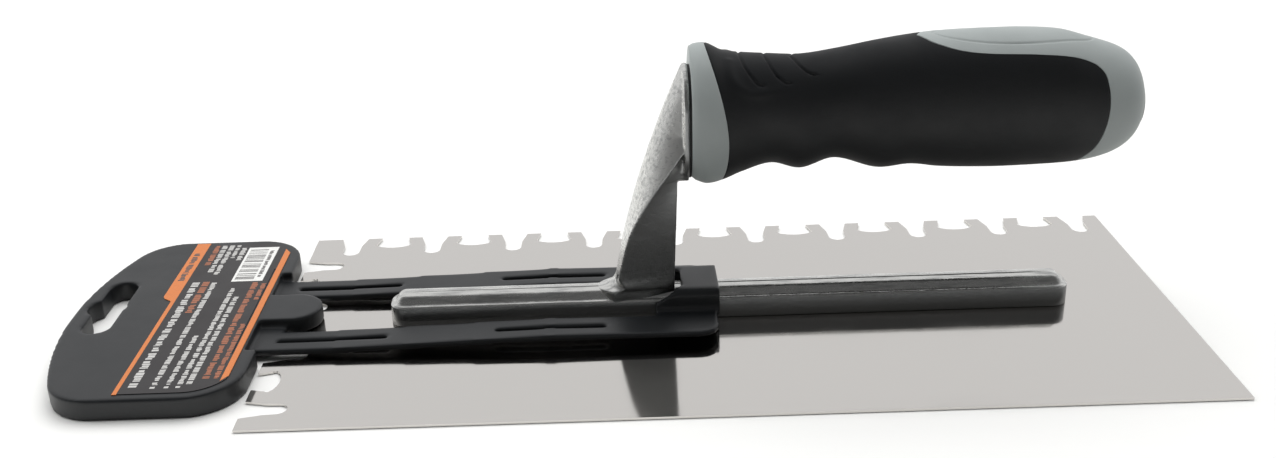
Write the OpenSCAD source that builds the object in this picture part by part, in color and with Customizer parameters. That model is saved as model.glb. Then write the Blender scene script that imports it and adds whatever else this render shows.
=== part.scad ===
// Notched plastering trowel with a cast mounting, a two-part grip and its clip-on shop hanger.
// Millimetres. The origin is the centre of the blade's underside: +X runs along the blade
// towards the free end of the handle, +Y points at the toothed long edge, and +Z is up.

/* [Blade] */
// Length of the blade along its toothed long edge
blade_len = 280; // [240:1:340]
// Width of the blade from the plain front edge to the toothed back edge
blade_w = 130; // [110:1:160]
// Thickness of the spring-steel sheet
blade_t = 0.7; // [0.5:0.1:1.2]

/* [Teeth] */
// Distance between deep notches along the long edge
long_pitch = 28.6; // [27:0.1:40]
// Distance between deep notches along the short edge
short_pitch = 32; // [27:0.1:40]
// Distance from the left corner to the first deep notch of the long edge
long_first = 13.5; // [9:0.5:20]
// Distance from the back corner to the first deep notch of the short edge
short_first = 23; // [18:0.5:26]
// Depth of a deep notch in the long edge
deep_depth = 14.2; // [10:0.1:16]
// Depth of a deep notch in the short edge
short_deep_depth = 12.8; // [10:0.1:16]
// Width of a deep notch at its round root
deep_root_w = 5.8; // [4:0.1:7]
// Width of a deep notch at its mouth
deep_mouth_w = 9.3; // [8:0.1:11]
// Depth of a dovetail notch in the long edge
dove_depth = 8.5; // [6:0.1:9]
// Depth of a dovetail notch in the short edge
short_dove_depth = 7.5; // [6:0.1:9]
// Width of a dovetail notch at its undercut
dove_wide = 12.5; // [11:0.1:13]
// Width of a dovetail notch at its mouth
dove_mouth_w = 9.5; // [7:0.1:10]
// Height of the shallow arc at the bottom of a dovetail notch
dove_arc = 2; // [1:0.1:3]

/* [Mounting casting] */
// Distance from the blade's centre to the left end of the bar
bar_left = 104.5; // [80:0.5:115]
// Distance from the blade's centre to the right end of the bar
bar_right = 108; // [80:0.5:115]
// Width of the bar
bar_w = 12.4; // [10:0.1:15]
// Height of the bar's top above the blade's underside
bar_top = 10.3; // [8:0.1:13]
// Radius along the bar's top edges
bar_edge_r = 3.2; // [1:0.1:4]
// Radius of the bar's ends, seen from above
bar_end_r = 4.8; // [3:0.1:5]
// Distance from the blade's centre to the post's vertical back face, to the left
post_back = 14.3; // [10:0.1:20]
// Distance that the post's front stands ahead of its back at the foot
post_depth = 18.4; // [16:0.1:26]
// Distance that the post's back steps forward again towards the foot
post_back_draft = 1; // [0:0.1:2]
// Half width of the post where it reaches the flange
post_top_half = 12.7; // [11:0.1:14]
// Half width of the post's back at the foot
post_back_half = 3.6; // [2:0.1:5]
// Thickness of the flange that the handle seats on
flange_t = 3.7; // [3:0.1:6]
// Thickness of the flange's rim
flange_rim_t = 1.8; // [1:0.1:2.4]
// Half width of the thicker foot at the bottom of the flange
flange_foot_half = 9; // [6:0.1:10]
// Half height of the flange
flange_half_h = 17.6; // [15:0.1:19]
// Radius of the boss that the handle slides over
boss_r = 7; // [6:0.1:8]
// Length of that boss
boss_len = 24; // [16:0.5:30]

/* [Handle] */
// Height of the handle's axis above the blade's underside
handle_z = 67; // [62:0.5:80]
// Length of the handle
handle_len = 133.4; // [120:0.1:150]
// Height of the handle at the palm swell
handle_h = 41.8; // [38:0.1:50]
// Width of the handle at the palm swell
handle_w = 36; // [33:0.1:44]
// Thickness of the soft sleeve
sleeve_t = 2.4; // [1.5:0.1:3]
// Thickness of the washer between the flange and the handle
gasket_t = 0.6; // [0.4:0.1:1.5]

/* [Fasteners] */
// Number of rivets that hold the blade to the bar
rivet_count = 8; // [3:1:9]
// Radius of a rivet's shank
rivet_r = 2; // [1.5:0.1:2.5]
// Radius of a rivet's countersunk head
rivet_head_r = 3; // [2.6:0.1:4]
// Length of a rivet from the blade's underside
rivet_len = 6.2; // [4:0.1:7]
// Distance from each end of the bar to its nearest rivet
rivet_inset = 10; // [8:0.5:16]
// Radius of the handle bolt's shank
bolt_r = 3; // [2.5:0.1:3.5]
// Radius of the handle bolt's head
bolt_head_r = 5; // [4.5:0.1:5.5]
// Height of the handle bolt's head
bolt_head_h = 6; // [4:0.1:7]
// Radius of the washer under the bolt's head
washer_r = 6.8; // [6:0.1:7.2]
// Thickness of that washer
washer_t = 1.4; // [1:0.1:2]
// Depth of the counterbore in the handle's free end
counterbore_depth = 30; // [24:0.5:40]
// Radius of the plug that closes the counterbore
plug_r = 7.4; // [7:0.1:8]
// Length of that plug
plug_len = 10; // [6:0.5:14]

/* [Hanger] */
// Length of the hanger's plate beyond the blade's left edge
plate_len = 63.5; // [50:0.5:80]
// Width of the hanger's plate
plate_w = 109.5; // [90:0.5:128]
// Distance that the plate sits off the blade's middle line, towards the plain edge
plate_shift = 1.6; // [0:0.1:3]
// Height of the hanger's plate
plate_h = 6.5; // [5:0.1:8]
// Wall of the hanger's plate, which is open underneath
plate_wall = 1.8; // [1.2:0.1:2.4]
// Radius of the plate's bowed left side
plate_side_r = 130; // [100:1:180]
// Radius of the plate's corners
plate_corner_r = 16; // [10:0.5:20]
// Distance between the blade's edge and the plate
plate_gap = 1; // [0.5:0.1:3]
// Width of the hole that hangs on a shop hook
hook_w = 9; // [7:0.1:11]
// Length of that hole across the plate
hook_len = 36; // [28:0.5:44]
// Distance from the plate's middle line to the middle of that hole
hook_shift = 5.2; // [0:0.1:8]
// Radius of the round bay in that hole
hook_bay_r = 6; // [5:0.1:8]
// Distance from the middle of the bay to the middle line of the hole
hook_slot_shift = 1; // [0:0.1:2]
// Distance from the hole to the plate's left side
hook_inset = 3; // [3:0.1:6]
// Width of each arm
arm_w = 12; // [9:0.1:14]
// Distance from the middle plane to each arm's centre line
arm_y = 18.25; // [16.5:0.05:22]
// Thickness of each arm
arm_t = 2; // [1.2:0.1:2.6]
// Height of the arms' top where they leave the plate
arm_low_z = 3.7; // [3.4:0.1:4.4]
// Height of the arms' top at the saddle
arm_high_z = 5.6; // [4.6:0.1:6]
// Width of the slots in the arms
arm_slot_w = 1.8; // [1:0.1:3]
// Length of the slots in the arms
arm_slot_len = 34; // [20:0.5:38]
// Half width of the tongue
tongue_half = 9; // [6:0.1:10]
// Distance that the tongue reaches in over the blade
tongue_reach = 13.5; // [8:0.5:18]
// Length of the saddle behind the post
saddle_len = 12.6; // [9:0.1:18]
// Distance that the saddle's cheeks reach ahead of the post's back
cheek_len = 7.3; // [4:0.1:9]
// Wall of the saddle
saddle_wall = 1.6; // [1.2:0.1:2]
// Clearance between the saddle and the bar
saddle_gap = 0.35; // [0.2:0.05:1]
// Length of the printed label across the arms' direction
label_len = 31; // [26:0.5:40]
// Thickness of the printed label
label_t = 0.2; // [0.1:0.05:0.4]

/* [Fits] */
// Clearance between a rivet, bolt, plug or washer and its hole
fit_gap = 0.05; // [0.02:0.01:0.1]
// Clearance between the hanger and the blade under it
rest_gap = 0.3; // [0.1:0.05:0.6]

/* [Hidden] */

// Blade edges
blade_left = -blade_len / 2;
blade_back = blade_w / 2;
tooth_margin = 8.6;
long_count = floor((blade_len - long_first - tooth_margin) / long_pitch) + 1;
short_count = floor((blade_w - short_first - tooth_margin) / short_pitch) + 1;
deep_wall_y = 6.5;

// Casting
post_back_x = -post_back;
post_front_x = post_back_x - post_depth;
post_foot_z = 18;
flange_x = post_back_x + flange_t;
flange_drop = 3.4;
flange_z = handle_z - flange_drop;
bore_z = handle_z - 1;
post_top_z = flange_z + flange_half_h;
post_rise = post_top_z - post_foot_z;
post_over_lean = 1.8;
post_lean_total = post_depth + post_over_lean;
flange_bottom_z = flange_z - flange_half_h;
flange_foot_h = 16;
flange_foot_top = flange_bottom_z + flange_foot_h;
web_r = 5.4;
bolt_bore_len = boss_len - 3;

// Handle
handle_x = flange_x + gasket_t;
bolt_head_x = handle_x + handle_len - counterbore_depth;
bolt_tip_x = flange_x + boss_len - bolt_bore_len + 1;
gasket_inset = 0.4;
core_gap = 0.3;
plug_dome_r = 21.7;
plug_inset = 0.5;
plug_end_x = handle_x + handle_len - plug_inset;
end_round = 13;
under_round = 24.5;
end_power = 3;
pole_z = -0.5;

// Silhouette of the handle: distance along its length of 134.2, height of the top and of the
// underside from the axis on a swell of 41.8, and half width on a swell of 36
body_len = 134.2;
body_h = 41.8;
body_w = 36;
HANDLE = [
    [0, 19.3, -20.1, 16.6],
    [1.5, 20, -21.3, 17.6],
    [5, 20.1, -22.4, 18],
    [10, 17.7, -21.2, 17.2],
    [15, 17, -19.1, 16.2],
    [24, 16.3, -16.5, 15.2],
    [33, 15.9, -18.5, 15],
    [43, 17.1, -15.5, 15.3],
    [56, 19.4, -19, 16.6],
    [66, 20.8, -18.2, 17.3],
    [75, 21.6, -19.3, 17.7],
    [90, 21.9, -19.9, 18],
    [100, 21.8, -19.8, 17.9],
    [110, 20.9, -19.5, 17.4],
    [118, 18.6, -19, 16.5],
    [126, 16.2, -18.4, 15.6],
    [134.5, 14.6, -17.8, 15]];
// Edge of the sleeve at its free end: angle from the top, and distance along the handle
WINDOW = [[0, 67], [17, 70], [26, 73.5], [33.5, 79], [37.5, 87], [39.5, 100], [41.5, 113],
          [47, 118], [60, 120], [87, 120.6], [122, 119], [150, 116], [180, 115]];
SIDE_ANGLES = [0, 9, 17, 25, 31, 35, 37.5, 39.5, 41.5, 45, 52, 62, 75, 89, 103, 116, 129, 142, 155, 168];
SKIN_ANGLES = concat(SIDE_ANGLES, [180], [for (i = [len(SIDE_ANGLES) - 1 : -1 : 1]) 360 - SIDE_ANGLES[i]]);

// Hanger
plate_right = blade_left - plate_gap;
plate_left = plate_right - plate_len;
hanger_floor = blade_t + rest_gap;
recess_side_gap = 0.9;
recess_half = arm_y + arm_w / 2 + plate_shift + recess_side_gap;
recess_depth = 3.5;
arm_root_x = plate_right - recess_depth - plate_wall;
arm_end_x = post_back_x + saddle_len - 1;
arm_crest_x = -55;
saddle_x = post_back_x + 1;
post_side_gap = 2.6;
post_pass_half = post_back_half + post_side_gap;
bar_side_gap = 2.2;
saddle_half = bar_w / 2 + bar_side_gap + saddle_wall;
saddle_round_r = 2.5;
cheek_front_z = 7.6;
saddle_top = bar_top + saddle_gap + saddle_wall;
label_right = plate_right - recess_depth;
label_margin = 3;
label_edge_gap = 0.8;
arm_corner_r = 6;
arm_gusset_len = 10;
arm_gusset_w = 3;
arm_ramp_x = blade_left + 20;
slot_inset = 2.5;
slot_post_gap = 22.5;

// ---- Smooth interpolation through a list of stations -------------------------------------
function span(v, x, i = 0) = (i >= len(v) - 2 || x < v[i + 1][0]) ? i : span(v, x, i + 1);
function rise(v, k, i) = let (a = max(i - 1, 0), b = min(i + 1, len(v) - 1))
    (v[b][k] - v[a][k]) / (v[b][0] - v[a][0]);
function ease(v, k, x) = let (i = span(v, x), h = v[i + 1][0] - v[i][0], t = (x - v[i][0]) / h)
    v[i][k] * (2 * t ^ 3 - 3 * t ^ 2 + 1) + rise(v, k, i) * h * (t ^ 3 - 2 * t ^ 2 + t)
    + v[i + 1][k] * (3 * t ^ 2 - 2 * t ^ 3) + rise(v, k, i + 1) * h * (t ^ 3 - t ^ 2);
function smooth_step(t) = let (u = min(max(t, 0), 1)) u * u * (3 - 2 * u);

// ---- Skin over a list of rings, each with the same number of points ----------------------
module skin(rings, closed = false) {
    n = len(rings[0]);
    m = len(rings);
    sides = [for (i = [0 : (closed ? m : m - 1) - 1], j = [0 : n - 1])
        let (a = i * n + j, b = i * n + (j + 1) % n,
             c = ((i + 1) % m) * n + (j + 1) % n, d = ((i + 1) % m) * n + j)
        each (closed && i >= m / 2) ? [[a, b, d], [b, c, d]] : [[a, b, c], [a, c, d]]];
    caps = closed ? [] : [[for (j = [n - 1 : -1 : 0]) j], [for (j = [0 : n - 1]) (m - 1) * n + j]];
    polyhedron(points = [for (r = rings) each r], faces = concat(sides, caps), convexity = 8);
}

// ---- Blade -------------------------------------------------------------------------------
module deep_notch(depth) {
    root = deep_root_w / 2;
    mouth = deep_mouth_w / 2;
    translate([0, root - depth]) circle(r = root, $fn = 48);
    polygon([[-mouth, 0.01], [-mouth - 0.01, 1], [mouth + 0.01, 1], [mouth, 0.01],
             [root + 0.15, -deep_wall_y], [root, root - depth],
             [-root, root - depth], [-root - 0.15, -deep_wall_y]]);
}

module dovetail_notch(depth) {
    wide = dove_wide / 2;
    mouth = dove_mouth_w / 2;
    corner_y = dove_arc - depth;
    arc_r = (wide ^ 2 + dove_arc ^ 2) / (2 * dove_arc);
    corner_r = 0.8;
    polygon([[-mouth, 1], [mouth, 1], [mouth, 0], [wide - 0.25, corner_y + corner_r],
             [-wide + 0.25, corner_y + corner_r], [-mouth, 0]]);
    for (side = [-1, 1])
        translate([side * (wide - corner_r), corner_y + corner_r * 0.75]) circle(r = corner_r, $fn = 32);
    intersection() {
        translate([0, arc_r - depth]) circle(r = arc_r, $fn = 96);
        translate([-wide + corner_r, -depth - 1]) square([2 * (wide - corner_r), 3 + dove_arc]);
    }
}

module notch_row(count, first, pitch, deep, dove) {
    for (k = [0 : count - 1])
        translate([first + k * pitch, 0]) deep_notch(deep);
    for (k = [0 : count - 2])
        translate([first + (k + 0.5) * pitch, 0]) dovetail_notch(dove);
}

module rivet_places() {
    first = -bar_left + rivet_inset;
    step = (bar_left + bar_right - 2 * rivet_inset) / (rivet_count - 1);
    for (k = [0 : rivet_count - 1])
        translate([first + k * step, 0, 0]) children();
}

module rivet(gap = 0) {
    cylinder(r = rivet_r + gap, h = rivet_len + gap, $fn = 48);
    cylinder(r1 = rivet_head_r + gap, r2 = rivet_r + gap, h = blade_t, $fn = 48);
}

module blade() {
    color("#C9C6C2") difference() {
        linear_extrude(blade_t) difference() {
            translate([blade_left, -blade_back]) square([blade_len, blade_w]);
            translate([blade_left, blade_back])
                notch_row(long_count, long_first, long_pitch, deep_depth, dove_depth);
            translate([blade_left, blade_back]) mirror([1, 0]) rotate(-90)
                notch_row(short_count, short_first, short_pitch, short_deep_depth, short_dove_depth);
        }
        rivet_places() rivet(fit_gap);
    }
}

module blade_rivets() {
    color("#D8D8D6") rivet_places() rivet();
}

// ---- Casting: bar, post, flange and boss in one piece ------------------------------------
module bar_section() {
    half = bar_w / 2;
    shoulder = bar_top - bar_edge_r;
    translate([-half, blade_t]) square([bar_w, shoulder - blade_t]);
    translate([-half + bar_edge_r, blade_t]) square([bar_w - 2 * bar_edge_r, bar_top - blade_t]);
    for (side = [-1, 1])
        translate([side * (half - bar_edge_r), shoulder]) circle(r = bar_edge_r, $fn = 64);
}

module round_bar_plan(r) {
    length = bar_left + bar_right;
    translate([-bar_left + r, -bar_w / 2]) square([length - 2 * r, bar_w]);
    translate([-bar_left, -bar_w / 2 + r]) square([length, bar_w - 2 * r]);
    for (x = [-bar_left + r, bar_right - r], y = [-bar_w / 2 + r, bar_w / 2 - r])
        translate([x, y]) circle(r = r, $fn = 64);
}

module round_bar_side(r) {
    length = bar_left + bar_right;
    translate([-bar_left, 0]) square([length, bar_top - r]);
    translate([-bar_left + r, 0]) square([length - 2 * r, bar_top]);
    for (x = [-bar_left + r, bar_right - r])
        translate([x, bar_top - r]) circle(r = r, $fn = 64);
}

module bar() {
    length = bar_left + bar_right;
    intersection() {
        translate([-bar_left, 0, 0]) rotate([90, 0, 90]) linear_extrude(length) bar_section();
        linear_extrude(bar_top + 1) round_bar_plan(bar_end_r);
        translate([0, bar_w, 0]) rotate([90, 0, 0]) linear_extrude(2 * bar_w) round_bar_side(bar_edge_r);
    }
}

// The post leans back as it rises, widens towards the flange, and has a crowned front
function post_lean(z) = let (t = (z - post_foot_z) / post_rise)
    post_front_x + post_lean_total * t * (0.58 + 0.42 * t);
function post_web(z) = let (d = min(max((post_foot_z - 3 - z) / (post_foot_z - 3 - bar_top), 0), 1.25))
    web_r * (1 - sqrt(max(1 - min(d, 1) ^ 2, 0)));
function post_front(z) = post_lean(max(z, bar_top)) - (z < bar_top - 1 ? 0 : post_web(max(z, bar_top)));
function post_crown(z) = min(max(0.014 + 0.0016 * (z - 30), 0.014), 0.065);
function post_half(z) = let (t = (z - bar_top) / (handle_z - 7 - bar_top))
    bar_w / 2 - 0.1 + (post_top_half - bar_w / 2 + 0.1) * smooth_step(t);
function post_back_w(z) = let (t = (z - bar_top) / (flange_bottom_z - bar_top))
    post_back_half + (flange_foot_half - 0.8 - post_back_half) * smooth_step(t);
function post_back_at(z) = z > flange_bottom_z + 2 ? flange_x - flange_rim_t + 0.2
    : post_back_x - post_back_draft * min((flange_bottom_z - z) / (flange_bottom_z - bar_top), 1);
function post_reach(z) = let (room = max(post_back_at(z) - 0.3 - post_front(z), 0.01))
    min(post_half(z), sqrt(room / post_crown(z)));
function post_tail(z) = let (w = z > flange_bottom_z ? flange_foot_half - 0.8
    + (post_top_half - flange_foot_half + 0.8) * smooth_step((z - flange_foot_top + 4) / 5) : post_back_w(z))
    min(w, post_reach(z));
function post_ring(z) = let (w = post_reach(z), b = post_tail(z), f = post_front(z))
    concat([for (i = [-8 : 8]) let (y = w * sin(i * 90 / 8)) [f + post_crown(z) * y ^ 2, y, z]],
           [[post_back_at(z), b, z], [post_back_at(z), -b, z]]);

module post() {
    shaft = flange_bottom_z + 1.8;
    tip = post_top_z - 1.2;
    heights = concat([blade_t + 2, bar_top - 1.5],
                     [for (i = [0 : 5]) bar_top + (post_foot_z - bar_top) * i / 6],
                     [for (i = [0 : 10]) post_foot_z + (shaft - post_foot_z) * i / 10],
                     [for (i = [0 : 12]) shaft + 0.4 + (tip - shaft - 0.4) * i / 12]);
    skin([for (z = heights) post_ring(z)]);
}

module flange_outline(half_w) {
    straight = flange_half_h - post_top_half;
    translate([-straight, -half_w]) square([2 * straight, 2 * half_w]);
    for (side = [-1, 1])
        translate([side * straight, 0]) circle(r = half_w, $fn = 96);
}

module flange() {
    translate([flange_x - flange_rim_t, 0, flange_z]) rotate([0, 90, 0])
        linear_extrude(flange_rim_t) flange_outline(post_top_half);
    intersection() {
        translate([post_back_x, 0, flange_z]) rotate([0, 90, 0])
            linear_extrude(flange_t - 0.1) flange_outline(post_top_half);
        translate([post_back_x - 1, -flange_foot_half, flange_bottom_z - 1])
            cube([flange_t + 0.5, 2 * flange_foot_half, flange_foot_top - flange_bottom_z + 1]);
    }
}

module along_x(x) {
    translate([x, 0, bore_z]) rotate([0, 90, 0]) children();
}

module shank_casting() {
    color("#B9BABC") difference() {
        union() {
            bar();
            post();
            flange();
            along_x(flange_x - 1) cylinder(r = boss_r, h = boss_len + 1, $fn = 64);
        }
        rivet_places() rivet(fit_gap);
        along_x(flange_x + boss_len - bolt_bore_len)
            cylinder(r = bolt_r + fit_gap, h = bolt_bore_len + 1, $fn = 48);
    }
}

// ---- Handle ------------------------------------------------------------------------------
module collar_gasket() {
    color("#1B1C1E") along_x(flange_x) linear_extrude(gasket_t) difference() {
        translate([bore_z - flange_z, 0]) flange_outline(post_top_half - gasket_inset);
        circle(r = boss_r + core_gap, $fn = 64);
    }
}

// Point of the handle's outer surface, at a distance along it and an angle from its top;
// inset pulls it in towards the axis
function swell_h() = handle_h / body_h;
function swell_w() = handle_w / body_w;
function end_fall(s, length) = let (d = min(max((s - body_len + length) / length, 0), 1))
    (1 - d ^ end_power) ^ (1 / end_power);
function body_at(k, s, length) = pole_z + (ease(HANDLE, k, s) - pole_z) * end_fall(s, length);
function handle_top(s) = body_at(1, s, end_round) * swell_h();
function handle_under(s) = body_at(2, s, under_round) * swell_h();
function handle_mid(s) = (handle_top(s) + handle_under(s)) / 2;
function handle_half(s) = (handle_top(s) - handle_under(s)) / 2;
function handle_side(s) = ease(HANDLE, 3, s) * swell_w() * end_fall(s, end_round);
function handle_at(s, angle, inset = 0) = [
    handle_x + s * handle_len / body_len,
    (handle_side(s) - inset) * sin(angle),
    handle_z + handle_mid(s) + (handle_half(s) - inset) * cos(angle)];

// Where the sleeve starts and ends at an angle from the top
function sleeve_start(angle) = 8.3 - 2.1 * cos(angle) - 1.8 * cos(2 * angle);
function sleeve_end(angle) = ease(WINDOW, 1, angle > 180 ? 360 - angle : angle);
function sleeve_s(angle, u, gap) = let (a = sleeve_start(angle), b = sleeve_end(angle))
    min(max(a + (b - a) * u, a + gap), b - gap);
sleeve_rows = 24;
rear_s = 123;

module handle_core() {
    front = [for (i = [0 : 3]) [for (a = SKIN_ANGLES) handle_at(sleeve_start(a) * i / 3, a)]];
    under = [for (i = [0 : sleeve_rows])
        [for (a = SKIN_ANGLES) handle_at(sleeve_s(a, i / sleeve_rows, 0), a, sleeve_t)]];
    rear = [for (i = [0 : 4]) [for (a = SKIN_ANGLES)
        let (e = sleeve_end(a)) handle_at(e + (rear_s - e) * i / 4, a)]];
    tip = [for (i = [1 : 6])
        [for (a = SKIN_ANGLES) handle_at(rear_s + (body_len - 0.05 - rear_s) * sin(i * 15), a)]];
    color("#7C868A") difference() {
        skin(concat(front, under, rear, tip));
        along_x(handle_x - 1)
            cylinder(r = boss_r + core_gap, h = boss_len - gasket_t + 1 + core_gap, $fn = 64);
        along_x(handle_x) cylinder(r = bolt_r + core_gap, h = handle_len, $fn = 48);
        along_x(bolt_head_x) cylinder(r = plug_r + fit_gap, h = counterbore_depth + 1, $fn = 64);
    }
}

module grip_sleeve() {
    outer = [for (i = [0 : sleeve_rows])
        [for (a = SKIN_ANGLES) handle_at(sleeve_s(a, i / sleeve_rows, fit_gap), a)]];
    inner = [for (i = [sleeve_rows : -1 : 0])
        [for (a = SKIN_ANGLES) handle_at(sleeve_s(a, i / sleeve_rows, fit_gap), a, sleeve_t - fit_gap)]];
    color("#202225") skin(concat(outer, inner), closed = true);
}

module handle_bolt() {
    color("#8E9092") {
        along_x(bolt_tip_x) cylinder(r = bolt_r, h = bolt_head_x + washer_t - bolt_tip_x + 0.5, $fn = 48);
        difference() {
            along_x(bolt_head_x + washer_t) cylinder(r = bolt_head_r, h = bolt_head_h, $fn = 64);
            along_x(bolt_head_x + washer_t + bolt_head_h / 2)
                cylinder(r = bolt_head_r / 2, h = bolt_head_h, $fn = 6);
        }
    }
}

module bolt_washer() {
    color("#A6A8AA") along_x(bolt_head_x) difference() {
        cylinder(r = washer_r, h = washer_t, $fn = 64);
        translate([0, 0, -1]) cylinder(r = bolt_r + fit_gap, h = washer_t + 2, $fn = 48);
    }
}

module end_plug() {
    color("#7C868A") along_x(plug_end_x - plug_len) intersection() {
        cylinder(r = plug_r, h = plug_len, $fn = 64);
        translate([0, 0, plug_len - plug_dome_r]) sphere(r = plug_dome_r, $fn = 128);
    }
}

// ---- Hanger ------------------------------------------------------------------------------
// Plan of the plate: a bowed left side, tangent corner arcs, and a straight right side
function arc_points(centre, r, from, to, steps) = [
    for (k = [0 : steps]) let (angle = from + (to - from) * k / steps)
        centre + r * [cos(angle), sin(angle)]
];

module plate_plan(inset = 0) {
    side_x = plate_left + plate_side_r;
    corner_y = plate_w / 2 - plate_corner_r;
    bow = asin(corner_y / (plate_side_r - plate_corner_r));
    corner_x = side_x - (plate_side_r - plate_corner_r) * cos(bow);
    right_x = plate_right - plate_corner_r;
    corner = plate_corner_r - inset;
    difference() {
        polygon(concat(
            arc_points([side_x, 0], plate_side_r - inset, 180 - bow, 180 + bow, 30),
            arc_points([corner_x, -corner_y], corner, 180 + bow + 6, 270, 10),
            arc_points([right_x, -corner_y], corner, 270, 360, 14),
            arc_points([right_x, corner_y], corner, 0, 90, 14),
            arc_points([corner_x, corner_y], corner, 90, 174 - bow, 10)));
        translate([plate_right - recess_depth - inset, -recess_half - inset])
            square([recess_depth + inset + 1, 2 * (recess_half + inset)]);
    }
}

// Slot with a round bay on its outer side; grow widens it into the wall that stands round it
module hook_hole(grow = 0) {
    end_r = hook_w / 2 + grow;
    reach = hook_len / 2 - hook_w / 2;
    translate([plate_left + hook_inset + hook_bay_r, hook_shift]) {
        circle(r = hook_bay_r + grow, $fn = 64);
        translate([hook_slot_shift - end_r, -reach]) square([2 * end_r, 2 * reach]);
        for (side = [-1, 1])
            translate([hook_slot_shift, side * reach]) circle(r = end_r, $fn = 64);
    }
}

module plate() {
    translate([0, -plate_shift, 0]) difference() {
        linear_extrude(plate_h) plate_plan();
        difference() {
            translate([0, 0, -1]) linear_extrude(plate_h - plate_wall + 1) plate_plan(plate_wall);
            linear_extrude(plate_h) hook_hole(plate_wall);
        }
        translate([0, 0, -1]) linear_extrude(plate_h + 2) hook_hole();
    }
}

module tongue() {
    tip_x = blade_left + tongue_reach - tongue_half;
    translate([0, 0, hanger_floor]) linear_extrude(plate_h - 0.1 - hanger_floor) {
        translate([arm_root_x, -tongue_half]) square([tip_x - arm_root_x, 2 * tongue_half]);
        translate([tip_x, 0]) circle(r = tongue_half, $fn = 96);
    }
}

module arm_plan() {
    corner_r = arm_corner_r;
    translate([arm_root_x, arm_y - arm_w / 2]) square([arm_end_x - corner_r - arm_root_x, arm_w]);
    translate([arm_root_x, arm_y - arm_w / 2 - arm_gusset_w]) square([arm_gusset_len, arm_gusset_w + 1]);
    translate([arm_end_x - corner_r - 0.01, saddle_half - saddle_wall])
        square([corner_r + 0.01, arm_y + arm_w / 2 - corner_r - saddle_half + saddle_wall]);
    translate([arm_end_x - corner_r, arm_y + arm_w / 2 - corner_r]) circle(r = corner_r, $fn = 64);
    translate([post_back_x - cheek_len, saddle_half - saddle_wall])
        square([arm_end_x - corner_r - post_back_x + cheek_len, arm_y - saddle_half + saddle_wall]);
}

module arm_slots() {
    for (x = [blade_left + slot_inset, post_back_x - slot_post_gap - arm_slot_len])
        translate([x, arm_y - arm_slot_w / 2]) {
            translate([arm_slot_w / 2, 0]) square([arm_slot_len - arm_slot_w, arm_slot_w]);
            for (end = [arm_slot_w / 2, arm_slot_len - arm_slot_w / 2])
                translate([end, arm_slot_w / 2]) circle(r = arm_slot_w / 2, $fn = 32);
        }
}

module arm_side() {
    polygon([[arm_root_x, arm_low_z], [arm_ramp_x, arm_low_z], [arm_crest_x, arm_high_z],
             [arm_end_x, arm_high_z - 0.4], [arm_end_x, arm_high_z - 0.4 - arm_t],
             [arm_crest_x, arm_high_z - arm_t], [arm_ramp_x, arm_low_z - arm_t],
             [arm_root_x, arm_low_z - arm_t]]);
}

module arms() {
    for (side = [0, 1]) mirror([0, side, 0]) intersection() {
        translate([0, blade_w, 0]) rotate([90, 0, 0]) linear_extrude(2 * blade_w) arm_side();
        linear_extrude(plate_h) difference() {
            arm_plan();
            arm_slots();
        }
    }
}

// The saddle straddles the bar behind the post, and its cheeks reach forward beside the post
module saddle() {
    inner = saddle_half - saddle_wall;
    foot = arm_high_z - arm_t;
    round_r = saddle_round_r;
    difference() {
        translate([post_back_x - cheek_len, 0, 0])
        rotate([90, 0, 90])
        linear_extrude(cheek_len + saddle_len) {
            translate([-saddle_half, foot]) square([2 * saddle_half, saddle_top - round_r - foot]);
            translate([-saddle_half + round_r, foot])
                square([2 * (saddle_half - round_r), saddle_top - foot]);
            for (side = [-1, 1])
                translate([side * (saddle_half - round_r), saddle_top - round_r])
                    circle(r = round_r, $fn = 48);
        }
        translate([post_back_x - cheek_len - 1, -inner, 0])
            cube([cheek_len + saddle_len + 2, 2 * inner, bar_top + saddle_gap]);
        translate([0, saddle_half + 1, 0]) rotate([90, 0, 0]) linear_extrude(2 * saddle_half + 2)
            polygon([[post_back_x, saddle_top], [post_back_x - cheek_len, cheek_front_z],
                     [post_back_x - cheek_len - 1, cheek_front_z],
                     [post_back_x - cheek_len - 1, saddle_top + 1], [post_back_x, saddle_top + 1]]);
        linear_extrude(saddle_top + 1)
            polygon([[post_back_x - cheek_len - 1, inner], [post_back_x - cheek_len, inner],
                     [saddle_x, post_pass_half], [saddle_x, -post_pass_half],
                     [post_back_x - cheek_len, -inner], [post_back_x - cheek_len - 1, -inner]]);
    }
}

module hanger() {
    color("#26282B") {
        plate();
        tongue();
        arms();
        saddle();
    }
}

module hanger_label() {
    color("#3A3636") translate([0, -plate_shift, plate_h]) linear_extrude(label_t) intersection() {
        plate_plan(label_margin);
        translate([label_right - label_len, -plate_w]) square([label_len - label_edge_gap, 2 * plate_w]);
    }
}

blade();
shank_casting();
blade_rivets();
collar_gasket();
handle_core();
grip_sleeve();
handle_bolt();
bolt_washer();
end_plug();
hanger();
hanger_label();
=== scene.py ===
"""Looks of a notched trowel: mirror-rolled blade, cast mounting, two-part grip and hanging card."""

import logging
import math
from dataclasses import dataclass, field
from enum import Enum
from typing import Any

import bpy
import numpy as np
from mathutils import Matrix, Vector


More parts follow.
